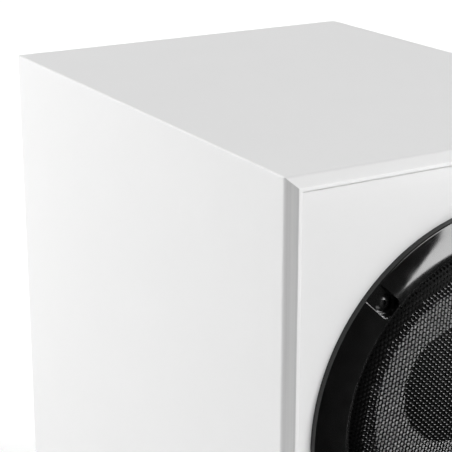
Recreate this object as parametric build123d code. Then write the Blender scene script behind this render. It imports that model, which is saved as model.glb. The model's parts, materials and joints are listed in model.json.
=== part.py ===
from build123d import *
import os

os.makedirs("parts", exist_ok=True)

# Cabinet, whose width and height follow from the margins round the trim rings
side_margin = 12.4
top_margin = 26.4
bottom_margin = 26.0
ring_spacing = 8.4
cabinet_depth = 275.0
wall_thickness = 15.0
front_chamfer = 4.3
chamfer_blend = 2.5
rim_edge_radius = 0.4
corner_radius = 0.8
rim_width = 1.9
rim_inner_radius = 0.7
baffle_thickness = 18.0
baffle_recess = 0.8
baffle_gap = 0.1
baffle_edge_radius = 0.25
back_thickness = 15.0
back_rim = 6.0
foot_radius = 10.0
foot_height = 5.0
foot_margin = 22.0

# Window brace and damping lining
brace_thickness = 12.0
brace_frame = 20.0
brace_behind_magnet = 14.0
lining_thickness = 12.0
lining_gap = 8.0

# Woofer trim ring and grille
ring_outer_radius = 92.6
ring_wall_height = 3.0
ring_band_width = 14.2
ring_crest_height = 5.4
ring_slope_width = 3.8
ring_inner_height = 2.0
ring_crest_round = 1.6
ring_lip_round = 0.4
pocket_width = 9.6
pocket_height = 2.7
pocket_corner = 3.0
pocket_overrun = 6.0
screw_inset = 9.0
screw_count = 4
screw_head_radius = 3.6
screw_head_height = 1.6
screw_head_skirt = 0.4
screw_seat_height = 0.6
screw_radius = 2.0
screw_bore_radius = 4.3
screw_length = 17.0
screw_socket_radius = 1.7
screw_clearance = 0.3
grille_sheet = 0.8
grille_rise = 8.0
grille_rim_overlap = 3.0
grille_rim_gap = 0.5

# Woofer
flange_inset = 4.6
flange_thickness = 4.0
flange_lip = 1.1
gasket_thickness = 1.0
seat_clearance = 0.5
basket_wall = 3.0
ledge_depth = 9.0
ledge_width = 5.0
ledge_thickness = 5.0
surround_thickness = 1.0
surround_roll_radius = 4.5
surround_glue_width = 6.5
cone_thickness = 1.0
cap_radius = 28.5
cap_depth = 20.0
cap_rise = 7.0
cap_thickness = 0.6
former_inner_radius = 18.8
former_wall = 0.3
coil_build = 0.9
coil_length = 14.0
gap_clearance = 0.6
spider_depth = 48.0
spider_ledge_inner = 41.0
spider_ledge_thickness = 2.0
spider_sheet = 0.6
spider_glue_width = 5.0
spider_wave_height = 1.2
spider_waves = 3
rear_ring_depth = 58.0
rear_ring_thickness = 5.0
rear_ring_radius = 58.0
rear_ring_inner = 24.0
rear_wall = 4.0
spoke_count = 6
spoke_width = 10.0
spoke_thickness = 6.0
top_plate_radius = 50.0
top_plate_thickness = 6.0
magnet_radius = 52.0
magnet_inner = 27.0
magnet_thickness = 16.0
yoke_plate_thickness = 6.0
vent_radius = 5.0
strip_width = 18.0
strip_length = 18.0
strip_thickness = 1.6
tab_width = 4.8
tab_length = 12.0
tab_thickness = 0.8
tab_spacing = 10.0
lead_radius = 0.6
lead_bend = 3.5
lead_drop = 8.0
lead_rise = 6.0

# Tweeter
tweeter_ring_outer = 52.0
tweeter_band_width = 14.4
tweeter_slope_width = 3.6
tweeter_grille_rise = 4.5
tweeter_flange_inset = 3.0
tweeter_boss_inset = 6.0
tweeter_boss_depth = 8.0
tweeter_throat_radius = 17.0
tweeter_throat_depth = 5.0
dome_radius = 12.4
dome_rise = 4.0
dome_sheet = 0.4
tweeter_former_wall = 0.2
tweeter_coil_build = 0.5
tweeter_gap_clearance = 0.4
tweeter_roll_radius = 0.9
tweeter_plate_inset = 3.0
tweeter_plate_thickness = 4.0
tweeter_magnet_inset = 1.0
tweeter_magnet_inner = 18.0
tweeter_magnet_thickness = 10.0
tweeter_cover_wall = 1.0
tweeter_cover_depth = 38.0
tweeter_tab_spacing = 12.0
tweeter_tab_length = 8.0

# Reflex port on the back
port_below_top = 95.0
port_inner_radius = 26.0
port_wall = 2.5
port_length = 130.0
port_flange_radius = 40.0
port_flange_thickness = 3.0
port_flare_radius = 8.0

# Terminal cup on the back
cup_above_bottom = 90.0
cup_flange_width = 96.0
cup_flange_height = 76.0
cup_flange_thickness = 2.5
cup_flange_corner = 6.0
cup_opening_width = 66.0
cup_opening_height = 46.0
cup_opening_corner = 5.0
cup_depth = 30.0
cup_wall = 2.5
cup_gasket_thickness = 1.0
cup_screw_radius = 1.75
cup_screw_head_radius = 3.5
cup_screw_head_height = 2.0
cup_screw_length = 14.0
cup_screw_inset = 6.5

# Binding posts
post_spacing = 19.0
post_radius = 3.5
post_length = 20.0
post_base_radius = 6.0
post_base_height = 3.0
socket_radius = 2.0
socket_length = 14.0
wire_hole_radius = 1.3
running_clearance = 0.06
part_gap = 0.3
washer_radius = 6.4
washer_thickness = 1.5
knob_radius = 6.6
knob_length = 14.5
knob_flutes = 12
knob_flute_radius = 0.9
lug_thickness = 0.8
lug_radius = 6.5
lug_tail_length = 14.0
lug_tail_width = 5.0
nut_width = 12.0
nut_height = 5.0
stud_end = 2.0

# Crossover
board_width = 100.0
board_length = 64.0
board_thickness = 1.6
board_from_back = 46.0
board_hole_inset = 4.0
spacer_radius = 3.5
spacer_height = 6.0
board_screw_radius = 1.5
board_screw_head_radius = 2.7
board_screw_head_height = 1.8
board_screw_bite = 6.0
woofer_inductor_radius = 17.0
woofer_inductor_core = 8.0
woofer_inductor_height = 18.0
tweeter_inductor_radius = 12.0
tweeter_inductor_core = 6.0
tweeter_inductor_height = 14.0
capacitor_length = 26.0
capacitor_width = 12.0
capacitor_height = 20.0
body_edge_radius = 1.0

# Internal wires
wire_radius = 1.2
wire_bend = 8.0
wire_pair_spacing = 12.0
wire_drop = 20.0

# Derived sizes and planes, from the middle of the whole object's depth and the floor under its feet
cabinet_width = 2 * (ring_outer_radius + side_margin)
ring_stack = 2 * ring_outer_radius + ring_spacing + 2 * tweeter_ring_outer
cabinet_height = top_margin + ring_stack + bottom_margin
seat_depth = flange_thickness + gasket_thickness
grille_apex = grille_sheet + grille_rise
front_proud = grille_apex - baffle_recess
cup_face = cup_gasket_thickness + cup_flange_thickness
rear_proud = cup_face + cup_screw_head_height
total_depth = front_proud + cabinet_depth + rear_proud
front_y = front_proud - total_depth / 2
back_y = front_y + cabinet_depth
baffle_y = front_y + baffle_recess
baffle_rear_y = baffle_y + baffle_thickness
bottom_z = foot_height
top_z = bottom_z + cabinet_height
middle_z = (bottom_z + top_z) / 2
inner_width = cabinet_width - 2 * wall_thickness
front_step = front_chamfer + rim_width
woofer_z = top_z - top_margin - ring_outer_radius
tweeter_z = bottom_z + bottom_margin + tweeter_ring_outer
port_z = top_z - port_below_top
cup_z = bottom_z + cup_above_bottom

ring_crest_radius = ring_outer_radius - ring_band_width
ring_inner_radius = ring_crest_radius - ring_slope_width
screw_circle_radius = ring_outer_radius - screw_inset
flange_radius = ring_outer_radius - flange_inset
flange_inner_radius = ring_inner_radius - flange_lip
former_outer_radius = former_inner_radius + former_wall
coil_outer_radius = former_outer_radius + coil_build
ledge_inner_radius = flange_inner_radius - ledge_width
basket_outer_radius = flange_inner_radius + basket_wall
cutout_radius = basket_outer_radius + 1.0
roll_centre = ledge_inner_radius - surround_roll_radius
roll_outer = surround_roll_radius + surround_thickness / 2
roll_inner = surround_roll_radius - surround_thickness / 2
cone_rim_radius = roll_centre - roll_inner
cone_radius = cone_rim_radius - surround_glue_width
cone_slope = (cap_depth - ledge_depth) / (cone_radius - cap_radius)
cone_neck_depth = ledge_depth + cone_slope * (cone_radius - former_outer_radius)
top_plate_front = rear_ring_depth + rear_ring_thickness
top_plate_rear = top_plate_front + top_plate_thickness
magnet_rear = top_plate_rear + magnet_thickness
yoke_rear = magnet_rear + yoke_plate_thickness
coil_centre = (top_plate_front + top_plate_rear) / 2
coil_front = coil_centre - coil_length / 2
coil_rear = coil_centre + coil_length / 2

tweeter_ring_crest = tweeter_ring_outer - tweeter_band_width
tweeter_ring_inner = tweeter_ring_crest - tweeter_slope_width
tweeter_screw_circle = tweeter_ring_outer - screw_inset
tweeter_flange_radius = tweeter_ring_outer - tweeter_flange_inset
tweeter_boss_radius = tweeter_screw_circle - tweeter_boss_inset
tweeter_plate_radius = tweeter_boss_radius - tweeter_plate_inset
tweeter_magnet_radius = tweeter_boss_radius - tweeter_magnet_inset
tweeter_former_outer = dome_radius + tweeter_former_wall
tweeter_coil_outer = tweeter_former_outer + tweeter_coil_build
tweeter_plate_rear = tweeter_boss_depth + tweeter_plate_thickness
tweeter_magnet_rear = tweeter_plate_rear + tweeter_magnet_thickness
tweeter_cutout_radius = max(tweeter_boss_radius, tweeter_magnet_radius + tweeter_cover_wall) + 1.0

brace_front_y = baffle_y + yoke_rear + brace_behind_magnet
cup_floor_y = back_y + cup_face - cup_depth
board_bottom_z = bottom_z + wall_thickness + spacer_height
board_top_z = board_bottom_z + board_thickness
board_y = back_y - back_thickness - board_from_back - board_length / 2


def facing_front(x, y, z):
    """A frame whose local depth axis runs into the cabinet from the front."""
    return Plane(origin=(x, y, z), x_dir=(1, 0, 0), z_dir=(0, 1, 0))


woofer_frame = facing_front(0, baffle_y, woofer_z)
tweeter_frame = facing_front(0, baffle_y, tweeter_z)
port_frame = facing_front(0, back_y, port_z)
cup_frame = facing_front(0, back_y, cup_z)
post_frame_positive = facing_front(-post_spacing / 2, cup_floor_y, cup_z)
post_frame_negative = facing_front(post_spacing / 2, cup_floor_y, cup_z)
post_frames = [post_frame_positive, post_frame_negative]


def rod(radius, start, end, x=0.0, y=0.0):
    """A round bar along the local depth axis."""
    return Pos(x, y, (start + end) / 2) * Cylinder(radius, end - start)


def tube(outer, inner, start, end):
    """A round tube along the local depth axis."""
    return rod(outer, start, end) - rod(inner, start - 1, end + 1)


def block(x0, x1, y0, y1, z0, z1):
    """A rectangular block between two opposite corners."""
    middle = Pos((x0 + x1) / 2, (y0 + y1) / 2, (z0 + z1) / 2)
    return middle * Box(x1 - x0, y1 - y0, z1 - z0)


def turned(*edges):
    """A body turned about the local depth axis from a closed outline of radius and depth."""
    outline = make_face(Plane.XZ * (Curve() + list(edges)))
    return revolve(outline, Axis.Z)


def turned_polygon(*points):
    """A body turned from straight lines."""
    return turned(Polyline(*points, close=True))


def cap_arc(edge, rim, rise):
    """A round cap's section from its rim to its tip, with its centre on the axis."""
    ball = (edge**2 + rise**2) / (2 * rise)
    mid = edge / 2
    drop = ball - (ball**2 - mid**2) ** 0.5
    return ThreePointArc((edge, rim), (mid, rim - rise + drop), (0, rim - rise))


def cable(points, radius, bend):
    """A round wire along a bent path."""
    path = FilletPolyline(*points, radius=bend)
    start = Plane(origin=path @ 0, z_dir=path % 0)
    return sweep(start * Circle(radius), path=path)


def mirrored_pair(shape):
    """A shape and its mirror image across the middle plane."""
    return Compound([shape, mirror(shape, Plane.YZ)])


def front_rectangle(y, inset, radius=0.0):
    """The cabinet's outline on one depth plane, set in by a margin."""
    plane = Plane(origin=(0, y, middle_z), x_dir=(1, 0, 0), z_dir=(0, -1, 0))
    width = cabinet_width - 2 * inset
    height = cabinet_height - 2 * inset
    if radius > 0:
        return plane * RectangleRounded(width, height, radius)
    return plane * Rectangle(width, height)


def between(y0, y1, inset, radius=0.0):
    """A block of the cabinet's outline between two depths."""
    return extrude(front_rectangle(y1, inset, radius), y1 - y0)


# Cabinet shell
def chamfered_outline(width):
    """The cabinet's outline along its depth, with chamfered and softened front corners."""
    outline = Rectangle(cabinet_depth, width)
    outline = chamfer(outline.vertices().group_by(Axis.X)[0], front_chamfer)
    outline = fillet(outline.vertices().group_by(Axis.X)[0], rim_edge_radius)
    return fillet(outline.vertices().group_by(Axis.X)[-2], chamfer_blend)


def cabinet_shell():
    middle_y = (front_y + back_y) / 2
    upright = Plane(origin=(-cabinet_width / 2, middle_y, middle_z), x_dir=(0, 1, 0), z_dir=(1, 0, 0))
    level = Plane(origin=(0, middle_y, bottom_z), x_dir=(0, 1, 0), z_dir=(0, 0, 1))
    body = extrude(upright * chamfered_outline(cabinet_height), cabinet_width)
    body &= extrude(level * chamfered_outline(cabinet_width), cabinet_height)
    body &= between(front_y - 1, back_y, 0, corner_radius)
    body -= between(front_y - 1, back_y + 1, wall_thickness)
    body -= between(front_y - 1, baffle_rear_y, front_step)
    rim = body.faces().sort_by(Axis.Y)[0]
    body = fillet(rim.inner_wires()[0].edges(), rim_inner_radius)
    body -= between(back_y - back_thickness, back_y + 1, back_rim)
    return body


def mitre_wedge(turn):
    """The part of the shell between two mitres, for the panel on one side."""
    half_w = cabinet_width / 2
    half_h = cabinet_height / 2
    out = 2.0
    reach = wall_thickness + 2.0
    plane = Plane(origin=(0, back_y + 1, middle_z), x_dir=(1, 0, 0), z_dir=(0, -1, 0))
    if turn in ("top", "bottom"):
        sign = 1 if turn == "top" else -1
        corners = [
            (-half_w - out, sign * (half_h + out)),
            (half_w + out, sign * (half_h + out)),
            (half_w - reach, sign * (half_h - reach)),
            (-half_w + reach, sign * (half_h - reach)),
        ]
    else:
        sign = 1 if turn == "right" else -1
        corners = [
            (sign * (half_w + out), -half_h - out),
            (sign * (half_w + out), half_h + out),
            (sign * (half_w - reach), half_h - reach),
            (sign * (half_w - reach), -half_h + reach),
        ]
    face = make_face(Polyline(*corners, close=True))
    return extrude(plane * face, cabinet_depth + 2)


def driver_screw_places(circle):
    """The places of a driver's screws, midway between upright and level."""
    return PolarLocations(circle, screw_count, start_angle=45)


def front_baffle():
    y0 = baffle_y
    body = between(y0, baffle_rear_y, front_step + baffle_gap)
    front_edges = body.faces().sort_by(Axis.Y)[0].edges()
    body = fillet(front_edges, baffle_edge_radius)
    pilot = screw_radius + 0.03
    body -= woofer_frame * rod(flange_radius + seat_clearance, -1, seat_depth)
    body -= woofer_frame * rod(cutout_radius, -1, baffle_thickness + 1)
    body -= tweeter_frame * rod(tweeter_flange_radius + seat_clearance, -1, seat_depth)
    body -= tweeter_frame * rod(tweeter_cutout_radius, -1, baffle_thickness + 1)
    for place in driver_screw_places(screw_circle_radius):
        body -= woofer_frame * place * rod(pilot, 0, screw_length)
    for place in driver_screw_places(tweeter_screw_circle):
        body -= tweeter_frame * place * rod(pilot, 0, screw_length)
    return body


def cup_screw_places():
    """The places of the terminal cup's screws, near the flange's corners."""
    across = cup_flange_width - 2 * cup_screw_inset
    up = cup_flange_height - 2 * cup_screw_inset
    return GridLocations(across, up, 2, 2)


def back_panel():
    body = between(back_y - back_thickness, back_y, back_rim + baffle_gap)
    body -= port_frame * rod(port_inner_radius + port_wall + seat_clearance, -back_thickness - 1, 1)
    hole = RectangleRounded(
        cup_opening_width + 2 * cup_wall + 2 * seat_clearance,
        cup_opening_height + 2 * cup_wall + 2 * seat_clearance,
        cup_opening_corner + cup_wall,
    )
    body -= cup_frame * (Pos(0, 0, -back_thickness - 1) * extrude(hole, back_thickness + 2))
    depth = cup_screw_length - cup_face + 0.5
    for place in cup_screw_places():
        body -= cup_frame * place * rod(cup_screw_radius + 0.03, -depth, 1)
    return body


def cabinet_brace():
    y0 = brace_front_y
    y1 = y0 + brace_thickness
    body = between(y0, y1, wall_thickness)
    return body - between(y0 - 1, y1 + 1, wall_thickness + brace_frame)


def damping_lining():
    half = inner_width / 2
    y0 = baffle_rear_y + lining_gap
    y1 = brace_front_y - lining_gap
    z0 = bottom_z + wall_thickness + lining_gap
    z1 = top_z - wall_thickness - lining_gap
    return mirrored_pair(block(half - lining_thickness, half, y0, y1, z0, z1))


def rubber_feet():
    across = cabinet_width - 2 * foot_margin
    along = cabinet_depth - 2 * foot_margin
    edge = foot_height / 4
    foot = fillet(Cylinder(foot_radius, foot_height).edges().group_by(Axis.Z)[0], edge)
    middle = Pos(0, (front_y + back_y) / 2, foot_height / 2)
    return Compound([middle * place * foot for place in GridLocations(across, along, 2, 2)])


# Trim rings and grilles, shared by the two drivers
def trim_ring(outer, crest, inner, circle):
    wall = ring_wall_height
    rim_outer = inner + grille_rim_overlap + 0.2
    band_mid = ((outer + crest) / 2, -(wall + ring_crest_height) / 2 - 0.45)
    section = Curve() + [
        Line((rim_outer, 0), (outer, 0)),
        Line((outer, 0), (outer - 0.2, -wall + 0.5)),
        ThreePointArc((outer - 0.2, -wall + 0.5), (outer - 0.4, -wall + 0.12), (outer - 0.8, -wall)),
        ThreePointArc((outer - 0.8, -wall), band_mid, (crest, -ring_crest_height)),
        Line((crest, -ring_crest_height), (inner, -ring_inner_height)),
        Line((inner, -ring_inner_height), (inner, -grille_sheet)),
        Line((inner, -grille_sheet), (rim_outer, -grille_sheet)),
        Line((rim_outer, -grille_sheet), (rim_outer, 0)),
    ]
    outline = make_face(section)
    tip = outline.vertices().sort_by_distance((crest, -ring_crest_height, 0))[0]
    outline = fillet(tip, ring_crest_round)
    lip = outline.vertices().sort_by_distance((inner, -ring_inner_height, 0))[0]
    outline = fillet(lip, ring_lip_round)
    body = revolve(Plane.XZ * outline, Axis.Z)
    start = crest + 0.4
    end = outer + pocket_overrun
    slot = RectangleRounded(end - start, pocket_width, pocket_corner)
    pocket = Pos((start + end) / 2 - circle, 0, -pocket_height) * extrude(slot, -ring_crest_height)
    for place in driver_screw_places(circle):
        body -= place * pocket
        body -= place * rod(screw_bore_radius, -ring_crest_height, -screw_seat_height)
        body -= place * rod(screw_radius + screw_clearance, -ring_crest_height, 1)
    return body


def grille(inner, rise):
    """The grille's sheet as one domed shell with a flat rim under the trim ring."""
    edge = inner - grille_rim_gap
    rim = inner + grille_rim_overlap
    return turned(
        Line((0, -rise - grille_sheet), (0, -rise)),
        cap_arc(edge, 0, rise),
        Line((edge, 0), (rim, 0)),
        Line((rim, 0), (rim, -grille_sheet)),
        Line((rim, -grille_sheet), (edge, -grille_sheet)),
        cap_arc(edge, -grille_sheet, rise),
    )


def driver_screws():
    seat = -screw_seat_height
    shoulder = seat - screw_head_skirt
    screw = turned(
        Line((0, shoulder - screw_head_height + screw_head_skirt), (0, seat)),
        Line((0, seat), (screw_head_radius, seat)),
        Line((screw_head_radius, seat), (screw_head_radius, shoulder)),
        cap_arc(screw_head_radius, shoulder, screw_head_height - screw_head_skirt),
    )
    screw += rod(screw_radius, seat, screw_length - 1)
    socket = extrude(RegularPolygon(screw_socket_radius, 6), screw_head_height * 0.7)
    screw -= Pos(0, 0, seat - screw_head_height) * socket
    screws = [woofer_frame * place * screw for place in driver_screw_places(screw_circle_radius)]
    screws += [tweeter_frame * place * screw for place in driver_screw_places(tweeter_screw_circle)]
    return Compound(screws)


# Woofer
def woofer_gasket():
    body = tube(flange_radius, cutout_radius + 1, flange_thickness, seat_depth)
    for place in driver_screw_places(screw_circle_radius):
        body -= place * rod(screw_radius + screw_clearance, 0, seat_depth + 1)
    return woofer_frame * body


def woofer_basket():
    front_end = ledge_depth + ledge_thickness
    front = turned_polygon(
        (flange_inner_radius, 0),
        (flange_radius, 0),
        (flange_radius, flange_thickness),
        (basket_outer_radius, flange_thickness),
        (basket_outer_radius, front_end),
        (ledge_inner_radius, front_end),
        (ledge_inner_radius, ledge_depth),
        (flange_inner_radius, ledge_depth),
    )
    for place in driver_screw_places(screw_circle_radius):
        front -= place * rod(screw_radius + screw_clearance, -1, flange_thickness + 1)
    spokes = turned_polygon(
        (basket_outer_radius, front_end - 0.5),
        (rear_ring_radius, spider_depth + 0.5),
        (rear_ring_radius - spoke_thickness, spider_depth + 0.5),
        (basket_outer_radius - spoke_thickness, front_end - 0.5),
    )
    bars = Part()
    for place in PolarLocations(0, spoke_count):
        bars += place * block(0, flange_radius, -spoke_width / 2, spoke_width / 2, 0, top_plate_front)
    rear = turned_polygon(
        (spider_ledge_inner, spider_depth),
        (rear_ring_radius, spider_depth),
        (rear_ring_radius, top_plate_front),
        (rear_ring_inner, top_plate_front),
        (rear_ring_inner, rear_ring_depth),
        (rear_ring_radius - rear_wall, rear_ring_depth),
        (rear_ring_radius - rear_wall, spider_depth + spider_ledge_thickness),
        (spider_ledge_inner, spider_depth + spider_ledge_thickness),
    )
    half = strip_width / 2 + 1
    pad_end = rear_ring_radius + strip_length / 2
    pad = block(-half, half, rear_ring_radius - 3, pad_end, rear_ring_depth, top_plate_front)
    return woofer_frame * (front + (spokes & bars) + rear + pad)


def woofer_surround():
    z0 = ledge_depth - surround_thickness
    z1 = ledge_depth
    body = turned(
        Line((flange_inner_radius, z1), (flange_inner_radius, z0)),
        Line((flange_inner_radius, z0), (roll_centre + roll_outer, z0)),
        ThreePointArc(
            (roll_centre + roll_outer, z0), (roll_centre, z0 - roll_outer), (roll_centre - roll_outer, z0)
        ),
        Line((roll_centre - roll_outer, z0), (cone_radius, z0)),
        Line((cone_radius, z0), (cone_radius, z1)),
        Line((cone_radius, z1), (roll_centre - roll_inner, z1)),
        Line((roll_centre - roll_inner, z1), (roll_centre - roll_inner, z0)),
        ThreePointArc(
            (roll_centre - roll_inner, z0), (roll_centre, z0 - roll_inner), (roll_centre + roll_inner, z0)
        ),
        Line((roll_centre + roll_inner, z0), (roll_centre + roll_inner, z1)),
        Line((roll_centre + roll_inner, z1), (flange_inner_radius, z1)),
    )
    return woofer_frame * body


def woofer_cone():
    body = turned_polygon(
        (cone_rim_radius, ledge_depth),
        (cone_rim_radius, ledge_depth + cone_thickness),
        (cone_radius, ledge_depth + cone_thickness),
        (former_outer_radius, cone_neck_depth + cone_thickness),
        (former_outer_radius, cone_neck_depth),
        (cone_radius, ledge_depth),
    )
    return woofer_frame * body


def woofer_dust_cap():
    inner = cap_radius - cap_thickness
    inner_depth = cap_depth + cap_thickness * cone_slope
    apex = cap_depth - cap_rise
    inner_apex = apex + cap_thickness
    body = turned(
        Line((0, apex), (0, inner_apex)),
        cap_arc(inner, inner_depth, inner_depth - inner_apex),
        Line((inner, inner_depth), (cap_radius, cap_depth)),
        cap_arc(cap_radius, cap_depth, cap_rise),
    )
    return woofer_frame * body


def woofer_coil_former():
    return woofer_frame * tube(former_outer_radius, former_inner_radius, cone_neck_depth - 1, coil_rear)


def woofer_voice_coil():
    return woofer_frame * tube(coil_outer_radius, former_outer_radius, coil_front, coil_rear)


def woofer_spider():
    z1 = spider_depth
    z0 = spider_depth - spider_sheet
    outer = spider_ledge_inner + spider_glue_width
    inner = former_outer_radius
    step = (spider_ledge_inner - inner) / (2 * spider_waves)
    front = []
    rear = []
    for index in range(2 * spider_waves):
        r0 = inner + index * step
        side = -spider_wave_height if index % 2 == 0 else spider_wave_height
        front.append(ThreePointArc((r0, z0), (r0 + step / 2, z0 + side), (r0 + step, z0)))
        rear.append(ThreePointArc((r0, z1), (r0 + step / 2, z1 + side), (r0 + step, z1)))
    body = turned(
        *front,
        *rear,
        Line((inner, z0), (inner, z1)),
        Line((spider_ledge_inner, z0), (outer, z0)),
        Line((outer, z0), (outer, z1)),
        Line((outer, z1), (spider_ledge_inner, z1)),
    )
    return woofer_frame * body


def woofer_top_plate():
    inner = coil_outer_radius + gap_clearance
    return woofer_frame * tube(top_plate_radius, inner, top_plate_front, top_plate_rear)


def woofer_magnet():
    return woofer_frame * tube(magnet_radius, magnet_inner, top_plate_rear, magnet_rear)


def woofer_yoke():
    pole = former_inner_radius - gap_clearance
    body = rod(top_plate_radius, magnet_rear, yoke_rear) + rod(pole, top_plate_front, magnet_rear)
    return woofer_frame * (body - rod(vent_radius, top_plate_front - 1, yoke_rear + 1))


def woofer_terminal_strip():
    y0 = rear_ring_radius - 2
    half = strip_width / 2
    z0 = top_plate_front
    return woofer_frame * block(-half, half, y0, y0 + strip_length, z0, z0 + strip_thickness)


woofer_tab_start = rear_ring_radius - 2 + strip_length / 2
woofer_tab_depth = top_plate_front + strip_thickness
woofer_tab_end = woofer_tab_start + tab_length


def woofer_terminal_tabs():
    x0 = (tab_spacing - tab_width) / 2
    x1 = (tab_spacing + tab_width) / 2
    tab = block(x0, x1, woofer_tab_start, woofer_tab_end, woofer_tab_depth, woofer_tab_depth + tab_thickness)
    return mirrored_pair(woofer_frame * tab)


def woofer_tinsel_leads():
    x = tab_spacing / 2
    y0 = (cap_radius + cone_radius) / 2 - 4
    y1 = rear_ring_radius - 2 + strip_length - 2
    rest = (x * x + y0 * y0) ** 0.5
    z0 = ledge_depth + cone_slope * (cone_radius - rest) + cone_thickness + 0.45
    z1 = spider_depth - lead_rise
    points = [(x, y0, z0), (x, y0, z0 + lead_drop), (x, y1, z1), (x, y1, top_plate_front)]
    return mirrored_pair(woofer_frame * cable(points, lead_radius, lead_bend))


# Tweeter
def tweeter_face_plate():
    body = turned_polygon(
        (tweeter_ring_inner - 1, 0),
        (tweeter_flange_radius, 0),
        (tweeter_flange_radius, flange_thickness),
        (tweeter_boss_radius, flange_thickness),
        (tweeter_boss_radius, tweeter_boss_depth),
        (tweeter_throat_radius, tweeter_boss_depth),
        (tweeter_throat_radius, tweeter_throat_depth),
    )
    for place in driver_screw_places(tweeter_screw_circle):
        body -= place * rod(screw_radius + screw_clearance, -1, flange_thickness + 1)
    return tweeter_frame * body


def tweeter_gasket():
    body = tube(tweeter_flange_radius, tweeter_cutout_radius + 0.5, flange_thickness, seat_depth)
    for place in driver_screw_places(tweeter_screw_circle):
        body -= place * rod(screw_radius + screw_clearance, 0, seat_depth + 1)
    return tweeter_frame * body


dome_rim_depth = tweeter_boss_depth - 2 * dome_sheet
tweeter_roll_centre = tweeter_former_outer + tweeter_roll_radius


def tweeter_dome():
    apex = dome_rim_depth - dome_rise
    outer = tweeter_former_outer
    inner = outer - dome_sheet
    body = turned(
        Line((0, apex), (0, apex + dome_sheet)),
        cap_arc(inner, dome_rim_depth, dome_rise - dome_sheet),
        Line((inner, dome_rim_depth), (outer, dome_rim_depth)),
        cap_arc(outer, dome_rim_depth, dome_rise),
    )
    return tweeter_frame * body


def tweeter_surround():
    z1 = tweeter_boss_depth
    z0 = z1 - dome_sheet
    outer = tweeter_throat_radius - 0.2
    big = tweeter_roll_radius
    small = big - dome_sheet
    centre = tweeter_roll_centre
    body = turned(
        Line((centre - big, z1), (centre - big, z0)),
        ThreePointArc((centre - big, z0), (centre, z0 - big), (centre + big, z0)),
        Line((centre + big, z0), (outer, z0)),
        Line((outer, z0), (outer, z1)),
        Line((outer, z1), (centre + small, z1)),
        Line((centre + small, z1), (centre + small, z0)),
        ThreePointArc((centre + small, z0), (centre, z0 - small), (centre - small, z0)),
        Line((centre - small, z0), (centre - small, z1)),
        Line((centre - small, z1), (centre - big, z1)),
    )
    return tweeter_frame * body


def tweeter_coil_former():
    rear = tweeter_plate_rear + 1
    return tweeter_frame * tube(tweeter_former_outer, dome_radius, dome_rim_depth, rear)


def tweeter_voice_coil():
    z0 = tweeter_boss_depth + 0.5
    z1 = tweeter_plate_rear - 0.5
    return tweeter_frame * tube(tweeter_coil_outer, tweeter_former_outer, z0, z1)


def tweeter_top_plate():
    inner = tweeter_coil_outer + tweeter_gap_clearance
    return tweeter_frame * tube(tweeter_plate_radius, inner, tweeter_boss_depth, tweeter_plate_rear)


def tweeter_magnet():
    return tweeter_frame * tube(
        tweeter_magnet_radius, tweeter_magnet_inner, tweeter_plate_rear, tweeter_magnet_rear
    )


def tweeter_yoke():
    pole = dome_radius - tweeter_gap_clearance
    body = rod(tweeter_plate_radius, tweeter_magnet_rear, tweeter_magnet_rear + tweeter_plate_thickness)
    return tweeter_frame * (body + rod(pole, tweeter_boss_depth + 0.5, tweeter_magnet_rear))


def tweeter_rear_cover():
    outer = tweeter_magnet_radius + tweeter_cover_wall
    body = rod(outer, tweeter_plate_rear, tweeter_cover_depth)
    body = fillet(body.edges().group_by(Axis.Z)[-1], 2.0)
    hollow = rod(tweeter_magnet_radius, tweeter_plate_rear - 1, tweeter_cover_depth - 2)
    return tweeter_frame * (body - hollow)


tweeter_tab_end = tweeter_cover_depth + tweeter_tab_length


def tweeter_terminal_tabs():
    x0 = (tweeter_tab_spacing - tab_thickness) / 2
    x1 = (tweeter_tab_spacing + tab_thickness) / 2
    tab = block(x0, x1, -tab_width / 2, tab_width / 2, tweeter_cover_depth, tweeter_tab_end)
    return mirrored_pair(tweeter_frame * tab)


# Reflex port
def port_tube():
    inner = port_inner_radius
    outer = inner + port_wall
    flare = port_flare_radius
    face = port_flange_thickness
    turn = flare * 0.2929
    body = turned(
        Line((inner, -port_length), (outer, -port_length)),
        Line((outer, -port_length), (outer, 0)),
        Line((outer, 0), (port_flange_radius, 0)),
        Line((port_flange_radius, 0), (port_flange_radius, face - 1)),
        Line((port_flange_radius, face - 1), (port_flange_radius - 1, face)),
        Line((port_flange_radius - 1, face), (inner + flare, face)),
        ThreePointArc((inner + flare, face), (inner + turn, face - turn), (inner, face - flare)),
        Line((inner, face - flare), (inner, -port_length)),
    )
    return port_frame * body


# Terminal cup and binding posts
def terminal_cup():
    front = cup_face
    floor_in = cup_face - cup_depth
    floor_out = floor_in - cup_wall
    flange = RectangleRounded(cup_flange_width, cup_flange_height, cup_flange_corner)
    tub = RectangleRounded(
        cup_opening_width + 2 * cup_wall, cup_opening_height + 2 * cup_wall, cup_opening_corner + cup_wall
    )
    mouth = RectangleRounded(cup_opening_width, cup_opening_height, cup_opening_corner)
    body = Pos(0, 0, cup_gasket_thickness) * extrude(flange, cup_flange_thickness)
    body += Pos(0, 0, floor_out) * extrude(tub, front - floor_out)
    body -= Pos(0, 0, floor_in) * extrude(mouth, cup_depth + 1)
    for place in cup_screw_places():
        body -= place * rod(cup_screw_radius + screw_clearance, 0, front + 1)
    for x in (-post_spacing / 2, post_spacing / 2):
        body -= rod(post_radius + 0.05, floor_out - 1, floor_in + 1, x)
    return cup_frame * body


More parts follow.
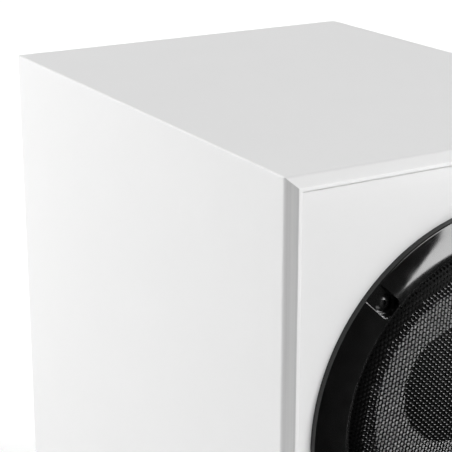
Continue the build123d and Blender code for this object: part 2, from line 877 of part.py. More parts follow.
def terminal_gasket():
    flange = RectangleRounded(cup_flange_width, cup_flange_height, cup_flange_corner)
    hole = RectangleRounded(
        cup_opening_width + 2 * cup_wall + 2 * seat_clearance,
        cup_opening_height + 2 * cup_wall + 2 * seat_clearance,
        cup_opening_corner + cup_wall,
    )
    body = extrude(flange - hole, cup_gasket_thickness)
    for place in cup_screw_places():
        body -= place * rod(cup_screw_radius + screw_clearance, -1, cup_gasket_thickness + 1)
    return cup_frame * body


def terminal_screws():
    top = cup_face + cup_screw_head_height
    tip = cup_face - cup_screw_length
    screw = rod(cup_screw_radius, tip, cup_face) + rod(cup_screw_head_radius, cup_face, top)
    recess = cup_screw_head_height / 3
    arm = cup_screw_head_radius * 0.6
    screw -= block(-0.5, 0.5, -arm, arm, top - recess, top + 1)
    screw -= block(-arm, arm, -0.5, 0.5, top - recess, top + 1)
    return Compound([cup_frame * place * screw for place in cup_screw_places()])


def binding_post(frame):
    rear = cup_wall + lug_thickness + nut_height + stud_end
    body = rod(post_radius, -rear, post_length) + rod(post_base_radius, 0, post_base_height)
    body -= rod(socket_radius, post_length - socket_length, post_length + 1)
    across = Pos(0, 0, post_base_height + wire_hole_radius + 0.5) * Rot(0, 90, 0)
    body -= across * Cylinder(wire_hole_radius, 3 * post_radius)
    return frame * body


washer_start = post_base_height + part_gap
washer_end = washer_start + washer_thickness
knob_start = washer_end + part_gap
knob_end = knob_start + knob_length


def clamp_washer(frame):
    return frame * tube(washer_radius, post_radius + running_clearance, washer_start, washer_end)


def binding_knob(frame):
    body = rod(knob_radius, knob_start, knob_end)
    body = fillet(body.edges().group_by(Axis.Z)[-1], 1.0)
    body -= rod(post_radius + running_clearance, knob_start - 1, knob_end + 1)
    flute_start = knob_start + 3
    for place in PolarLocations(knob_radius + knob_flute_radius * 0.3, knob_flutes):
        body -= place * rod(knob_flute_radius, flute_start, knob_end + 1)
    return frame * body


def solder_lugs():
    z1 = -cup_wall
    z0 = z1 - lug_thickness
    lug = rod(lug_radius, z0, z1)
    lug += block(-lug_tail_width / 2, lug_tail_width / 2, 0, lug_radius + lug_tail_length, z0, z1)
    lug -= rod(post_radius + 0.05, z0 - 1, z1 + 1)
    return Compound([frame * lug for frame in post_frames])


def post_nuts():
    z1 = -cup_wall - lug_thickness
    nut = extrude(RegularPolygon(nut_width / 2, 6, major_radius=False), -nut_height)
    nut = Pos(0, 0, z1) * nut - rod(post_radius + 0.03, z1 - nut_height - 1, z1 + 1)
    return Compound([frame * nut for frame in post_frames])


# Crossover
def board_corners():
    across = board_width - 2 * board_hole_inset
    along = board_length - 2 * board_hole_inset
    return GridLocations(across, along, 2, 2)


def crossover_board():
    half = board_width / 2
    body = block(-half, half, -board_length / 2, board_length / 2, 0, board_thickness)
    for place in board_corners():
        body -= place * rod(board_screw_radius + 0.2, -1, board_thickness + 1)
    return Pos(0, board_y, board_bottom_z) * body


def board_spacers():
    spacer = tube(spacer_radius, board_screw_radius + 0.2, -spacer_height, 0)
    middle = Pos(0, board_y, board_bottom_z)
    return Compound([middle * place * spacer for place in board_corners()])


def board_screws():
    head = rod(board_screw_head_radius, 0, board_screw_head_height)
    head = fillet(head.edges().group_by(Axis.Z)[-1], board_screw_head_height / 3)
    reach = board_thickness + spacer_height + board_screw_bite
    screw = head + rod(board_screw_radius, -reach, 0)
    screw -= block(-1.8, 1.8, -0.4, 0.4, board_screw_head_height - 0.7, board_screw_head_height + 1)
    middle = Pos(0, board_y, board_top_z)
    return Compound([middle * place * screw for place in board_corners()])


def on_board(across, along):
    """A place on the crossover board, as parts of its half width and half length."""
    return Pos(across * board_width / 2, board_y + along * board_length / 2, board_top_z)


def inductor(radius, core, height):
    """A wound coil standing on the board."""
    body = rod(radius, 0, height) - rod(core, -1, height + 1)
    return fillet(body.edges().group_by(Axis.Z)[-1], 1.5)


def capacitors():
    half = capacitor_length / 2
    side = capacitor_width / 2
    body = block(-half, half, -side, side, 0, capacitor_height)
    edges = body.edges().filter_by(Axis.Z) + body.faces().sort_by(Axis.Z)[-1].edges()
    body = fillet(edges, body_edge_radius)
    return Compound([on_board(0.6, -0.66) * body, on_board(0.08, 0.0) * body])


# Internal wires
def board_end(side, along):
    """The foot of a wire on the board."""
    return (side, board_y + along * board_length / 2, board_top_z)


def woofer_wires():
    side = wire_pair_spacing + 2
    x0, y0, z0 = board_end(side, -0.6)
    x1 = tab_spacing / 2
    y1 = baffle_y + woofer_tab_depth + tab_thickness / 2
    z2 = woofer_z - woofer_tab_end
    z1 = z2 - wire_drop
    points = [(x0, y0, z0), (x0, y0, z1), (x1, y1, z1), (x1, y1, z2)]
    return mirrored_pair(cable(points, wire_radius, wire_bend))


def tweeter_wires():
    side = tweeter_tab_spacing / 2
    x0, y0, z0 = board_end(side, -0.8)
    y1 = baffle_y + tweeter_tab_end
    points = [(x0, y0, z0), (x0, y0, tweeter_z), (x0, y1, tweeter_z)]
    return mirrored_pair(cable(points, wire_radius, wire_bend))


def input_wires():
    side = post_spacing / 2
    x0, y0, z0 = board_end(side, 0.7)
    y1 = cup_floor_y - cup_wall - wire_radius - 0.1
    z2 = cup_z - lug_radius - lug_tail_length
    z1 = (z0 + z2) / 2
    points = [(x0, y0, z0), (x0, y0, z1), (x0, y1, z1), (x0, y1, z2)]
    return mirrored_pair(cable(points, wire_radius, wire_bend))


def save(name, shape):
    """Write one node."""
    export_step(shape, "parts/" + name + ".step")


shell = cabinet_shell()
save("top_panel", shell & mitre_wedge("top"))
bottom = shell & mitre_wedge("bottom")
for corner in board_corners():
    hole = rod(board_screw_radius + 0.03, -spacer_height - board_screw_bite - 0.5, 0)
    bottom -= Pos(0, board_y, board_bottom_z) * corner * hole
save("bottom_panel", bottom)
save("left_side_panel", shell & mitre_wedge("left"))
save("right_side_panel", shell & mitre_wedge("right"))
save("front_baffle", front_baffle())
save("back_panel", back_panel())
save("cabinet_brace", cabinet_brace())
save("damping_lining", damping_lining())
save("rubber_feet", rubber_feet())

woofer_ring = trim_ring(ring_outer_radius, ring_crest_radius, ring_inner_radius, screw_circle_radius)
save("woofer_trim_ring", woofer_frame * woofer_ring)
save("woofer_grille", woofer_frame * grille(ring_inner_radius, grille_rise))
save("driver_screws", driver_screws())
save("woofer_gasket", woofer_gasket())
save("woofer_basket", woofer_basket())
save("woofer_surround", woofer_surround())
save("woofer_cone", woofer_cone())
save("woofer_dust_cap", woofer_dust_cap())
save("woofer_coil_former", woofer_coil_former())
save("woofer_voice_coil", woofer_voice_coil())
save("woofer_spider", woofer_spider())
save("woofer_top_plate", woofer_top_plate())
save("woofer_magnet", woofer_magnet())
save("woofer_yoke", woofer_yoke())
save("woofer_terminal_strip", woofer_terminal_strip())
save("woofer_terminal_tabs", woofer_terminal_tabs())
save("woofer_tinsel_leads", woofer_tinsel_leads())

tweeter_ring = trim_ring(tweeter_ring_outer, tweeter_ring_crest, tweeter_ring_inner, tweeter_screw_circle)
save("tweeter_trim_ring", tweeter_frame * tweeter_ring)
save("tweeter_grille", tweeter_frame * grille(tweeter_ring_inner, tweeter_grille_rise))
save("tweeter_face_plate", tweeter_face_plate())
save("tweeter_gasket", tweeter_gasket())
save("tweeter_dome", tweeter_dome())
save("tweeter_surround", tweeter_surround())
save("tweeter_coil_former", tweeter_coil_former())
save("tweeter_voice_coil", tweeter_voice_coil())
save("tweeter_top_plate", tweeter_top_plate())
save("tweeter_magnet", tweeter_magnet())
save("tweeter_yoke", tweeter_yoke())
save("tweeter_rear_cover", tweeter_rear_cover())
save("tweeter_terminal_tabs", tweeter_terminal_tabs())

save("port_tube", port_tube())
save("terminal_cup", terminal_cup())
save("terminal_gasket", terminal_gasket())
save("terminal_screws", terminal_screws())
save("positive_post", binding_post(post_frame_positive))
save("negative_post", binding_post(post_frame_negative))
save("positive_clamp_washer", clamp_washer(post_frame_positive))
save("negative_clamp_washer", clamp_washer(post_frame_negative))
save("positive_knob", binding_knob(post_frame_positive))
save("negative_knob", binding_knob(post_frame_negative))
save("solder_lugs", solder_lugs())
save("post_nuts", post_nuts())

save("crossover_board", crossover_board())
save("board_spacers", board_spacers())
save("board_screws", board_screws())
large_coil = inductor(woofer_inductor_radius, woofer_inductor_core, woofer_inductor_height)
small_coil = inductor(tweeter_inductor_radius, tweeter_inductor_core, tweeter_inductor_height)
save("woofer_inductor", on_board(-0.58, 0.12) * large_coil)
save("tweeter_inductor", on_board(0.64, 0.36) * small_coil)
save("crossover_capacitors", capacitors())
save("woofer_wires", woofer_wires())
save("tweeter_wires", tweeter_wires())
save("input_wires", input_wires())
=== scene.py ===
import json
import math

import bmesh
import bpy
from mathutils import Euler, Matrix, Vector


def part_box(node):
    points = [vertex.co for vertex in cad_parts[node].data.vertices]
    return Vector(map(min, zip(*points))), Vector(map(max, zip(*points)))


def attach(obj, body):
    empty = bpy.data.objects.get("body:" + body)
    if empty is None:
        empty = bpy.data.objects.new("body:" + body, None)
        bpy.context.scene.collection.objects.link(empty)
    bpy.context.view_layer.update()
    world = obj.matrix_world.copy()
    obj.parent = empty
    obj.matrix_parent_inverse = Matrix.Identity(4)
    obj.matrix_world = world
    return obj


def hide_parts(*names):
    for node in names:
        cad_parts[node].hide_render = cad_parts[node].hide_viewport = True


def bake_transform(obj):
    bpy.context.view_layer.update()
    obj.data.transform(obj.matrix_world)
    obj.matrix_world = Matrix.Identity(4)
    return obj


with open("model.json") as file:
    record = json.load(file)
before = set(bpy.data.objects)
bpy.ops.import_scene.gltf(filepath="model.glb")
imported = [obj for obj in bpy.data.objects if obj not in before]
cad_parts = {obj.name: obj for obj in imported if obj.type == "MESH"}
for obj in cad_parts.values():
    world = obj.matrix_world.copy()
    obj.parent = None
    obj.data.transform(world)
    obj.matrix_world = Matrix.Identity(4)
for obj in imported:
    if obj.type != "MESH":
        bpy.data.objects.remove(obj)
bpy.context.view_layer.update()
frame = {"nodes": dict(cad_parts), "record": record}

MM = 0.001

# Camera, as a real place in the object's frame
CAMERA_AT = (-0.3870, -0.5701, 0.5104)
CAMERA_TURN = 30.28
CAMERA_DIP = 17.14
CAMERA_LENS = 111.4
CAMERA_SENSOR = 36
CAMERA_SHIFT_Y = -0.08

# Faces of a solid closer than this share an edge
WELD = 0.001 * MM

# Edges that turn by more than this many degrees stay sharp
SHARP_TURN = 40

# Sectors of each ring that flexes with a driver
SECTORS = 16

# Wadding slabs: the least share of their thickness at the edge, how far the sides draw in, and the lumps
EDGE_SHARE = 0.35
DRAW_IN = 0.05
LUMP = 0.08
SLAB_CELLS = (16, 64)

# Floor, with the distances over which it fades out, and the backdrop
FLOOR_SIZE = 30
FLOOR_WHITE = 0.95
FLOOR_ROUGHNESS = 0.8
FLOOR_FADE = (2.4, 3.6)
BACKDROP = 0.92

# How closely a face has to match the upright chamfers' direction
CHAMFER_MATCH = 0.15

# Perforated grilles, with the two steps of the punched pattern across and up the sheet
STEP_ACROSS = (1.77 * MM, 0.75 * MM)
STEP_UP = (0.39 * MM, 2.15 * MM)
HOLE_RADIUS = 0.72 * MM
LIP_WIDTH = 0.20 * MM
LIP_DEPTH = 0.09 * MM
HOLE_SIDES = 12
SHEET = 0.8 * MM
PUNCHED_DEPTH = 0.5 * MM
# Holes closer than this to the rim get no lip and no edge finish: a painted shade for the dark band of mesh
# beside the trim ring
PAINTED_SHADE_BORDER = 6.9 * MM
RIM_GAP = 0.5 * MM
RIM_OVERLAP = 3.0 * MM
RIM_CLEARANCE = 0.2 * MM
RIM_INSET = 0.06 * MM
RIM_TURNS = 180

# Lights that show everywhere
SOFTBOXES = {
    "key_high": dict(at=(1.1, -1.4, 1.9), aim=(0, -0.1, 0.3), size=(0.8, 0.8), power=28),
    "back_box": dict(at=(0.1, 2.2, 1.8), aim=(0.2, 2.8, 0), size=(4.5, 2.4), power=67),
    "floor_back": dict(at=(-0.1, 0.8, 1.5), aim=(-0.1, 0.8, 0), size=(0.5, 0.5), power=0.5, spread=36),
    "floor_right": dict(at=(1.5, 1.9, 1.8), aim=(1.5, 1.9, 0), size=(1.0, 1.0), power=1.6, spread=60),
}

# Lights that don't show as gloss
FILLS = {
    "left_rear_high": dict(at=(-1.2, 1.4, 1.3), aim=(-0.1, 0.1, 0.25), size=(1.0, 1.0), power=25.2),
    "left_rear_low": dict(at=(-1.35, 1.15, 0.45), aim=(-0.1, 0.05, 0.2), size=(0.8, 0.8), power=14.9),
    "key_mid": dict(at=(0.45, -1.9, 2.0), aim=(0, -0.1, 0.3), size=(0.8, 0.8), power=19),
    "front_low": dict(at=(0.30, -1.9, 0.6), aim=(0, -0.1, 0.25), size=(0.9, 0.6), power=4.2),
    "ring_side": dict(at=(1.6, -0.5, 0.3), aim=(-0.05, -0.14, 0.24), size=(0.6, 0.6), power=80),
}

# Lights that show as gloss alone
CARDS = {
    "ring_card": dict(at=(0.80, -1.00, 0.305), aim=(-0.04, -0.14, 0.30), size=(0.76, 0.52), power=13),
    "mesh_card": dict(at=(1.03, -0.78, 0.66), aim=(-0.04, -0.14, 0.30), size=(0.95, 1.1), power=75),
    "side_card": dict(at=(-1.2, 1.4, 1.3), aim=(-0.1, 0.1, 0.25), size=(1.0, 1.0), power=25),
}


def nodes_of(name):
    """A new material, its node tree and its main shader."""
    mat = bpy.data.materials.new(name)
    mat.use_nodes = True
    tree = mat.node_tree
    return mat, tree, tree.nodes["Principled BSDF"]


def noise(tree, size, detail=3.0, stretch=(1, 1, 1)):
    """A noise pattern in the object's own metres, with features of a given size."""
    place = tree.nodes.new("ShaderNodeTexCoord")
    scale = tree.nodes.new("ShaderNodeMapping")
    scale.inputs["Scale"].default_value = tuple(s / size for s in stretch)
    pattern = tree.nodes.new("ShaderNodeTexNoise")
    pattern.inputs["Scale"].default_value = 1.0
    pattern.inputs["Detail"].default_value = detail
    tree.links.new(place.outputs["Object"], scale.inputs["Vector"])
    tree.links.new(scale.outputs["Vector"], pattern.inputs["Vector"])
    return pattern.outputs["Fac"]


def ramp(tree, value, low, high, start=0.3, end=0.7):
    """A pattern's values spread between two numbers."""
    node = tree.nodes.new("ShaderNodeMapRange")
    node.inputs["From Min"].default_value = start
    node.inputs["From Max"].default_value = end
    node.inputs["To Min"].default_value = low
    node.inputs["To Max"].default_value = high
    tree.links.new(value, node.inputs["Value"])
    return node.outputs["Result"]


def tint(tree, value, dark, light):
    """A pattern's values as a colour between two colours."""
    node = tree.nodes.new("ShaderNodeMix")
    node.data_type = "RGBA"
    node.inputs["A"].default_value = (*dark, 1)
    node.inputs["B"].default_value = (*light, 1)
    tree.links.new(value, node.inputs["Factor"])
    return node.outputs["Result"]


def bump(tree, shader, value, strength, depth):
    """Raise a surface by a pattern."""
    node = tree.nodes.new("ShaderNodeBump")
    node.inputs["Strength"].default_value = strength
    node.inputs["Distance"].default_value = depth
    tree.links.new(value, node.inputs["Height"])
    tree.links.new(node.outputs["Normal"], shader.inputs["Normal"])


def surface(name, colour, roughness, metallic=0.0, mottle=0.08, mottle_size=6 * MM, grain=0.3 * MM,
            rise=0.02 * MM, coat=0.0, sheen=0.0, specular=0.5):
    """A plain finish with faint mottling, a fine grain and uneven gloss."""
    mat, tree, shader = nodes_of(name)
    spots = ramp(tree, noise(tree, mottle_size), 0.0, 1.0)
    dark = tuple(c * (1 - mottle) for c in colour)
    light = tuple(min(1.0, c * (1 + mottle)) for c in colour)
    tree.links.new(tint(tree, spots, dark, light), shader.inputs["Base Color"])
    fine = noise(tree, grain, 2.0)
    gloss = ramp(tree, fine, max(0.02, roughness - 0.06), min(1.0, roughness + 0.06))
    tree.links.new(gloss, shader.inputs["Roughness"])
    bump(tree, shader, fine, 0.35, rise)
    shader.inputs["Metallic"].default_value = metallic
    shader.inputs["Coat Weight"].default_value = coat
    shader.inputs["Sheen Weight"].default_value = sheen
    shader.inputs["Specular IOR Level"].default_value = specular
    return mat


def on_side_chamfer(tree):
    """One on the upright chamfers, which face halfway between the front and a side, and else nought."""
    place = tree.nodes.new("ShaderNodeTexCoord")
    split = tree.nodes.new("ShaderNodeSeparateXYZ")
    across = tree.nodes.new("ShaderNodeMath")
    across.operation = "ABSOLUTE"
    near = tree.nodes.new("ShaderNodeMath")
    near.operation = "COMPARE"
    near.inputs[1].default_value = math.sqrt(0.5)
    near.inputs[2].default_value = CHAMFER_MATCH
    tree.links.new(place.outputs["Normal"], split.inputs["Vector"])
    tree.links.new(split.outputs["X"], across.inputs[0])
    tree.links.new(across.outputs["Value"], near.inputs[0])
    return near.outputs["Value"]


def white_foil():
    """Matte white wrap with a fine grain, faintly streaked on the upright chamfers."""
    mat, tree, shader = nodes_of("white_foil")
    spots = ramp(tree, noise(tree, 30 * MM, 4.0), 0.0, 1.0)
    plain = tint(tree, spots, (0.816, 0.816, 0.816), (0.822, 0.822, 0.822))
    streaks = ramp(tree, noise(tree, 0.9 * MM, 2.0, stretch=(1, 1, 0.004)), 0.0, 1.0)
    drawn = tint(tree, streaks, (0.77, 0.77, 0.77), (0.85, 0.85, 0.85))
    base = tree.nodes.new("ShaderNodeMix")
    base.data_type = "RGBA"
    tree.links.new(on_side_chamfer(tree), base.inputs["Factor"])
    tree.links.new(plain, base.inputs["A"])
    tree.links.new(drawn, base.inputs["B"])
    tree.links.new(base.outputs["Result"], shader.inputs["Base Color"])
    grain = noise(tree, 0.35 * MM, 3.0)
    tree.links.new(ramp(tree, grain, 0.36, 0.50), shader.inputs["Roughness"])
    bump(tree, shader, grain, 0.4, 0.03 * MM)
    return mat


def white_lacquer():
    """Gloss white lacquer with a trace of orange peel."""
    mat, tree, shader = nodes_of("white_lacquer")
    spots = ramp(tree, noise(tree, 40 * MM, 3.0), 0.0, 1.0)
    base = tint(tree, spots, (0.818, 0.818, 0.818), (0.824, 0.824, 0.824))
    tree.links.new(base, shader.inputs["Base Color"])
    peel = noise(tree, 3.5 * MM, 2.0)
    tree.links.new(ramp(tree, peel, 0.16, 0.20), shader.inputs["Roughness"])
    shader.inputs["Specular IOR Level"].default_value = 0.35
    bump(tree, shader, peel, 0.15, 0.006 * MM)
    return mat


def gloss_black():
    """Gloss black moulding with a faint haze of handling marks and softened edges."""
    mat, tree, shader = nodes_of("gloss_black")
    haze = noise(tree, 7 * MM, 5.0)
    base = tint(tree, ramp(tree, haze, 0.0, 1.0), (0.004, 0.004, 0.004), (0.006, 0.006, 0.006))
    tree.links.new(base, shader.inputs["Base Color"])
    tree.links.new(ramp(tree, haze, 0.07, 0.11), shader.inputs["Roughness"])
    edge = tree.nodes.new("ShaderNodeBevel")
    edge.samples = 6
    edge.inputs["Radius"].default_value = 0.25 * MM
    tree.links.new(edge.outputs["Normal"], shader.inputs["Normal"])
    shader.inputs["Specular IOR Level"].default_value = 0.55
    return mat


def grey(level):
    """A colour without hue."""
    return (level, level, level)


# Plain finishes, one for each other material slot, and one for the lips of the punched holes
FINISHES = {
    "grey_foil": dict(colour=grey(0.50), roughness=0.45, mottle=0.02, mottle_size=30 * MM, grain=0.35 * MM),
    "raw_board": dict(colour=(0.42, 0.30, 0.19), roughness=0.85, mottle=0.18, grain=0.6 * MM, rise=0.08 * MM),
    "wadding": dict(
        colour=(0.72, 0.72, 0.70), roughness=0.95, mottle=0.12, grain=0.8 * MM, rise=0.4 * MM, sheen=0.4
    ),
    "black_rubber": dict(colour=grey(0.012), roughness=0.62, mottle=0.2, rise=0.03 * MM),
    "black_mesh": dict(
        colour=grey(0.002), roughness=0.34, grain=0.15 * MM, rise=0.005 * MM, specular=0.02
    ),
    "mesh_edge": dict(colour=grey(0.031), roughness=0.28, metallic=1.0, grain=0.15 * MM, rise=0.003 * MM),
    "black_screw": dict(colour=grey(0.01), roughness=0.22, grain=0.2 * MM),
    "gasket_foam": dict(colour=grey(0.03), roughness=0.9, mottle=0.2, grain=0.5 * MM, rise=0.1 * MM),
    "cast_basket": dict(colour=grey(0.05), roughness=0.5, grain=0.5 * MM, rise=0.05 * MM),
    "cone": dict(colour=grey(0.86), roughness=0.40, mottle=0.05, grain=0.6 * MM, rise=0.01 * MM),
    "dust_cap": dict(colour=grey(0.012), roughness=0.75, mottle=0.15, grain=0.4 * MM, rise=0.04 * MM),
    "spider_cloth": dict(
        colour=(0.45, 0.30, 0.13), roughness=0.9, mottle=0.15, grain=0.5 * MM, rise=0.1 * MM
    ),
    "former": dict(colour=grey(0.72), roughness=0.35, metallic=1.0, mottle=0.05),
    "copper": dict(
        colour=(0.60, 0.22, 0.09), roughness=0.35, metallic=1.0, mottle=0.12, grain=0.25 * MM, rise=0.08 * MM
    ),
    "plated_steel": dict(colour=(0.58, 0.58, 0.56), roughness=0.35, metallic=1.0, mottle=0.08),
    "ferrite": dict(colour=(0.05, 0.05, 0.052), roughness=0.7, mottle=0.2, grain=0.6 * MM, rise=0.05 * MM),
    "phenolic": dict(colour=(0.20, 0.08, 0.03), roughness=0.5, mottle=0.15),
    "tinned_tab": dict(colour=(0.68, 0.67, 0.63), roughness=0.4, metallic=1.0, mottle=0.1),
    "tinsel": dict(colour=(0.60, 0.30, 0.13), roughness=0.45, metallic=1.0, grain=0.2 * MM, rise=0.08 * MM),
    "black_plastic": dict(colour=grey(0.016), roughness=0.48, mottle=0.1, grain=0.35 * MM, rise=0.04 * MM),
    "dome_silk": dict(colour=grey(0.014), roughness=0.6, mottle=0.15, grain=0.25 * MM, sheen=0.3),
    "gold_plate": dict(colour=(0.80, 0.52, 0.16), roughness=0.22, metallic=1.0, mottle=0.05),
    "red_knob": dict(colour=(0.40, 0.008, 0.008), roughness=0.28, mottle=0.06, coat=0.3),
    "black_knob": dict(colour=grey(0.012), roughness=0.28, mottle=0.1, coat=0.3),
    "circuit_board": dict(colour=(0.02, 0.13, 0.05), roughness=0.4, mottle=0.1, coat=0.3),
    "spacer_nylon": dict(colour=(0.75, 0.74, 0.68), roughness=0.5, mottle=0.05),
    "capacitor_film": dict(colour=(0.40, 0.04, 0.03), roughness=0.35, mottle=0.08),
    "wire_pvc": dict(colour=grey(0.03), roughness=0.45, mottle=0.12),
}
MATERIALS = {name: surface(name, **look) for name, look in FINISHES.items()}
MATERIALS["white_foil"] = white_foil()
MATERIALS["white_lacquer"] = white_lacquer()
MATERIALS["gloss_black"] = gloss_black()


def dress_nodes():
    """Give every CAD node the finish of its material slot."""
    slots = {part["node"]: part["material_slot"] for part in frame["record"]["subparts"]}
    for node, obj in frame["nodes"].items():
        obj.data.materials.clear()
        obj.data.materials.append(MATERIALS[slots[node]])


def dome_depth(radius, edge, rise):
    """How far a dome stands in front of its rim at a radius."""
    ball = (edge**2 + rise**2) / (2 * rise)
    return math.sqrt(ball**2 - radius**2) - (ball - rise)


def lattice(edge):
    """Centres of the punched pattern inside a circle."""
    count = int(1.5 * edge / math.hypot(*STEP_ACROSS)) + 2
    for row in range(-count, count + 1):
        for column in range(-count, count + 1):
            u = column * STEP_ACROSS[0] + row * STEP_UP[0]
            v = column * STEP_ACROSS[1] + row * STEP_UP[1]
            if math.hypot(u, v) < edge:
                yield u, v


def cell_corners():
    """The six corners of the sheet that belongs to one hole, midway to the holes round it."""
    across, up = Vector(STEP_ACROSS), Vector(STEP_UP)
    round_it = [across, up, up - across, -across, -up, across - up]
    round_it.sort(key=lambda p: math.atan2(p.y, p.x))
    corners = []
    for k in range(6):
        a, b = round_it[k], round_it[(k + 1) % 6]
        cross = 2 * (a.x * b.y - a.y * b.x)
        u = (b.y * a.length_squared - a.y * b.length_squared) / cross
        v = (a.x * b.length_squared - b.x * a.length_squared) / cross
        corners.append((u, v))
    return corners


def perforated_grille(node, body, side=0):
    """A domed sheet punched with a slanted pattern of round holes, and its flat rim: a half or all of it."""
    low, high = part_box(node)
    centre_x, centre_z = (low[0] + high[0]) / 2, (low[2] + high[2]) / 2
    rim = (high[0] - low[0]) / 2
    edge = rim - RIM_OVERLAP - RIM_GAP
    rise = high[1] - low[1] - SHEET
    back = high[1]
    points, faces, is_edge = [], [], []
    corners = cell_corners()
    first = math.atan2(corners[0][1], corners[0][0])

    def point(u, v, lift):
        radius = math.hypot(u, v)
        height = dome_depth(min(radius, edge), edge, rise) + lift
        points.append((centre_x + u, back - height, centre_z + v))
        return len(points) - 1

    def add(face, on_edge=False):
        faces.append(face)
        is_edge.append(on_edge)

    step = HOLE_SIDES // 6
    turned = [first + math.tau * k / HOLE_SIDES for k in range(HOLE_SIDES)]
    for u, v in lattice(edge + RIM_GAP + HOLE_RADIUS):
        if side * u < 0 or (side < 0 and u == 0):
            continue
        # Holes near the rim keep a plain mouth in the dark flat finish, a painted shade for the band beside
        # the trim ring
        clear_of_painted_shade = math.hypot(u, v) < edge - PAINTED_SHADE_BORDER
        mouth = HOLE_RADIUS + (LIP_WIDTH if clear_of_painted_shade else 0)
        section = [
            (mouth, SHEET),
            (HOLE_RADIUS, SHEET - LIP_DEPTH),
            (HOLE_RADIUS, SHEET - PUNCHED_DEPTH),
        ]
        outer = [point(u + a, v + b, SHEET) for a, b in corners]
        rings = []
        for r, lift in section:
            rings.append([point(u + r * math.cos(t), v + r * math.sin(t), lift) for t in turned])
        for k in range(6):
            inner = [rings[0][(k * step + i) % HOLE_SIDES] for i in range(step + 1)]
            add((*inner, outer[(k + 1) % 6], outer[k]))
        for upper, lower in zip(rings, rings[1:]):
            for k in range(HOLE_SIDES):
                n = (k + 1) % HOLE_SIDES
                add((lower[k], lower[n], upper[n], upper[k]), clear_of_painted_shade and upper is rings[0])

    start = edge + RIM_GAP + RIM_CLEARANCE
    top, bottom = SHEET - RIM_INSET, RIM_INSET
    section = [(start, top), (rim, top), (rim, bottom), (start, bottom)]
    turns = RIM_TURNS // 2 if side else RIM_TURNS
    span = math.pi if side else math.tau
    spread = [-side * math.pi / 2 + span * k / turns for k in range(turns + 1)]
    rings = [[point(r * math.cos(t), r * math.sin(t), lift) for t in spread] for r, lift in section]
    for a, b in zip(rings, rings[1:]):
        for k in range(turns):
            add((b[k], b[k + 1], a[k + 1], a[k]))

    name = node + {-1: "_punched_left", 0: "_punched", 1: "_punched_right"}[side]
    mesh = bpy.data.meshes.new(name)
    mesh.from_pydata(points, [], faces)
    mesh.polygons.foreach_set("use_smooth", is_edge)
    mesh.polygons.foreach_set("material_index", [int(edged) for edged in is_edge])
    mesh.materials.append(MATERIALS["black_mesh"])
    mesh.materials.append(MATERIALS["mesh_edge"])
    piece = bpy.data.objects.new(name, mesh)
    bpy.context.scene.collection.objects.link(piece)
    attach(piece, body)
    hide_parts(node)
    return piece


def piece_from(form, name, slot):
    """A new piece made from an edited form, with the finish of a slot."""
    mesh = bpy.data.meshes.new(name)
    form.to_mesh(mesh)
    form.free()
    mesh.shade_smooth()
    mesh.set_sharp_from_angle(angle=math.radians(SHARP_TURN))
    mesh.materials.append(MATERIALS[slot])
    piece = bpy.data.objects.new(name, mesh)
    bpy.context.scene.collection.objects.link(piece)
    return piece


def welded(node):
    """A copy of a CAD node's form, with its faces joined along their edges."""
    form = bmesh.new()
    form.from_mesh(frame["nodes"][node].data)
    bmesh.ops.remove_doubles(form, verts=form.verts, dist=WELD)
    return form


def flexing_ring(node, slot):
    """A ring that flexes with a driver, cut into sectors."""
    low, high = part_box(node)
    centre = (Vector(low) + Vector(high)) / 2
    whole = welded(node)
    half = math.pi / SECTORS
    for k in range(SECTORS):
        part = whole.copy()
        for edge in (k, k + 1):
            turn = 2 * half * edge
            across = (-math.sin(turn), 0, math.cos(turn))
            cut = bmesh.ops.bisect_plane(
                part,
                geom=part.verts[:] + part.edges[:] + part.faces[:],
                dist=WELD,
                plane_co=centre,
                plane_no=across,
                clear_inner=edge == k,
                clear_outer=edge != k,
            )
            section = [e for e in cut["geom_cut"] if isinstance(e, bmesh.types.BMEdge)]
            bmesh.ops.edgenet_fill(part, edges=section)
        bmesh.ops.recalc_face_normals(part, faces=part.faces)
        piece = piece_from(part, f"{node}_{k + 1:02d}", slot)
        turn = 2 * half * (k + 0.5)
        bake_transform(piece)
        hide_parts(node)
    whole.free()


def flexing_leads(node, slot):
    """Flexible leads from the terminals to the cone, each made a piece of its own."""
    whole = welded(node)
    left = set(whole.verts)
    runs = []
    while left:
        found, edge = set(), [left.pop()]
        while edge:
            vert = edge.pop()
            found.add(vert.index)
            near = [e.other_vert(vert) for e in vert.link_edges]
            fresh = [v for v in near if v in left]
            left.difference_update(fresh)
            edge.extend(fresh)
        runs.append(found)
    for count, run in enumerate(runs, 1):
        part = whole.copy()
        bmesh.ops.delete(part, geom=[v for v in part.verts if v.index not in run], context="VERTS")
        piece = piece_from(part, f"{node}_{count}", slot)
        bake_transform(piece)
        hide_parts(node)
    whole.free()


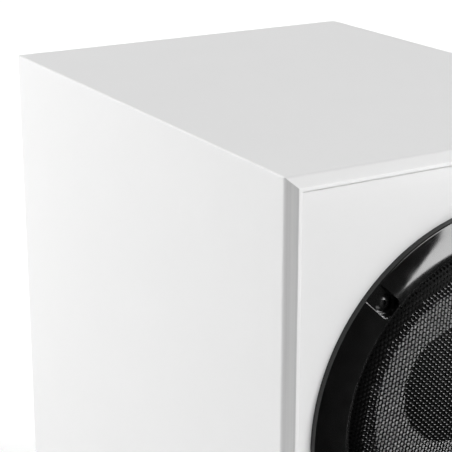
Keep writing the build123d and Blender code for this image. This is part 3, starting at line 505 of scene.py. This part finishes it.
def wadding_slab(node, side):
    """A loose slab of wadding, flat on its side wall, crowned inwards and drawn in between corners."""
    low, high = (Vector(p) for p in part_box(node))
    corners = [v.co for v in frame["nodes"][node].data.vertices if v.co.x * side > 0]
    thick = max(abs(p.x) for p in corners) - min(abs(p.x) for p in corners)
    middle_y, middle_z = (low.y + high.y) / 2, (low.z + high.z) / 2
    half_y, half_z = (high.y - low.y) / 2, (high.z - low.z) / 2
    across, along = SLAB_CELLS
    form = bmesh.new()

    def vertex(i, j, crowned):
        u, v = 2 * i / across - 1, 2 * j / along - 1
        y = middle_y + half_y * u * (1 - DRAW_IN * (1 - v**4))
        z = middle_z + half_z * v * (1 - DRAW_IN * (1 - u**4) * half_y / half_z)
        crown = EDGE_SHARE + (1 - EDGE_SHARE) * math.sqrt((1 - abs(u) ** 3) * (1 - abs(v) ** 9))
        lumps = 1 - LUMP * (1 + math.sin(5 * u + 9 * v) * math.cos(14 * v - 3 * u))
        return form.verts.new((side * (high.x - crowned * thick * crown * lumps), y, z))

    faces = []
    for crowned in (0, 1):
        faces.append([[vertex(i, j, crowned) for j in range(along + 1)] for i in range(across + 1)])
    for grid in faces:
        for i in range(across):
            for j in range(along):
                form.faces.new((grid[i][j], grid[i + 1][j], grid[i + 1][j + 1], grid[i][j + 1]))
    flat, crown = faces
    rim = [(i, 0) for i in range(across)] + [(across, j) for j in range(along)]
    rim += [(i, along) for i in range(across, 0, -1)] + [(0, j) for j in range(along, 0, -1)]
    for a, b in zip(rim, rim[1:] + rim[:1]):
        form.faces.new((flat[a[0]][a[1]], flat[b[0]][b[1]], crown[b[0]][b[1]], crown[a[0]][a[1]]))
    bmesh.ops.recalc_face_normals(form, faces=form.faces)
    piece = piece_from(form, node + ("_right" if side > 0 else "_left"), "wadding")
    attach(piece, "cabinet")
    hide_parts(node)


def floor():
    """A plain pale floor that fades out far from the object."""
    bpy.ops.mesh.primitive_plane_add(size=FLOOR_SIZE)
    plane = bpy.context.object
    plane.name = "floor"
    mat, tree, shader = nodes_of("floor")
    shader.inputs["Base Color"].default_value = (*grey(FLOOR_WHITE), 1)
    shader.inputs["Roughness"].default_value = FLOOR_ROUGHNESS
    place = tree.nodes.new("ShaderNodeTexCoord")
    far = tree.nodes.new("ShaderNodeVectorMath")
    far.operation = "LENGTH"
    tree.links.new(place.outputs["Object"], far.inputs[0])
    fade = tree.nodes.new("ShaderNodeMixShader")
    tree.links.new(ramp(tree, far.outputs["Value"], 0.0, 1.0, *FLOOR_FADE), fade.inputs[0])
    tree.links.new(shader.outputs["BSDF"], fade.inputs[1])
    tree.links.new(tree.nodes.new("ShaderNodeBsdfTransparent").outputs["BSDF"], fade.inputs[2])
    tree.links.new(fade.outputs["Shader"], tree.nodes["Material Output"].inputs["Surface"])
    plane.data.materials.append(mat)
    plane.visible_glossy = False


def softbox(name, at, aim, size, power, spread=180):
    """A large soft light."""
    data = bpy.data.lights.new(name, "AREA")
    data.shape = "RECTANGLE"
    data.size, data.size_y = size
    data.energy = power
    data.spread = math.radians(spread)
    lamp = bpy.data.objects.new(name, data)
    bpy.context.scene.collection.objects.link(lamp)
    lamp.location = at
    lamp.rotation_euler = (Vector(aim) - Vector(at)).to_track_quat("-Z", "Y").to_euler()
    lamp.visible_camera = False
    return lamp


def lit_alone(lamp, pieces):
    """Let a light fall on some pieces alone."""
    lit = bpy.data.collections.new(lamp.name)
    for piece in pieces:
        lit.objects.link(piece)
    lamp.light_linking.receiver_collection = lit


def lights(meshes):
    """Soft studio light from the left rear, the right front and above."""
    ring, side_panel = frame["nodes"]["woofer_trim_ring"], frame["nodes"]["left_side_panel"]
    lamps = {name: softbox(name, **lamp) for name, lamp in {**SOFTBOXES, **FILLS, **CARDS}.items()}
    for name in FILLS:
        lamps[name].visible_glossy = False
    for name in CARDS:
        lamps[name].visible_diffuse = False
    lit_alone(lamps["mesh_card"], [*meshes, ring])
    lit_alone(lamps["side_card"], [side_panel])
    lit_alone(lamps["ring_side"], [ring])
    world = bpy.data.worlds.new("studio")
    world.use_nodes = True
    world.node_tree.nodes["Background"].inputs["Color"].default_value = (1, 1, 1, 1)
    world.node_tree.nodes["Background"].inputs["Strength"].default_value = BACKDROP
    world.cycles_visibility.diffuse = False
    world.cycles_visibility.glossy = False
    bpy.context.scene.world = world
    bpy.context.scene.view_settings.view_transform = "Standard"


def camera():
    """The photograph's viewpoint."""
    data = bpy.data.cameras.new("camera")
    data.lens = CAMERA_LENS
    data.sensor_width = CAMERA_SENSOR
    data.shift_y = CAMERA_SHIFT_Y
    eye = bpy.data.objects.new("camera", data)
    eye.location = CAMERA_AT
    eye.rotation_euler = Euler((math.radians(90 - CAMERA_DIP), 0, math.radians(-CAMERA_TURN)), "XYZ")
    bpy.context.scene.collection.objects.link(eye)
    bpy.context.scene.camera = eye


dress_nodes()
grilles = [
    perforated_grille("woofer_grille", "cabinet", side=-1),
    perforated_grille("woofer_grille", "cabinet", side=1),
    perforated_grille("tweeter_grille", "cabinet"),
]
flexing_ring("woofer_surround", "black_rubber")
flexing_ring("woofer_spider", "spider_cloth")
flexing_ring("tweeter_surround", "dome_silk")
flexing_leads("woofer_tinsel_leads", "tinsel")
for side in (-1, 1):
    wadding_slab("damping_lining", side)
floor()
lights(grilles)
camera()
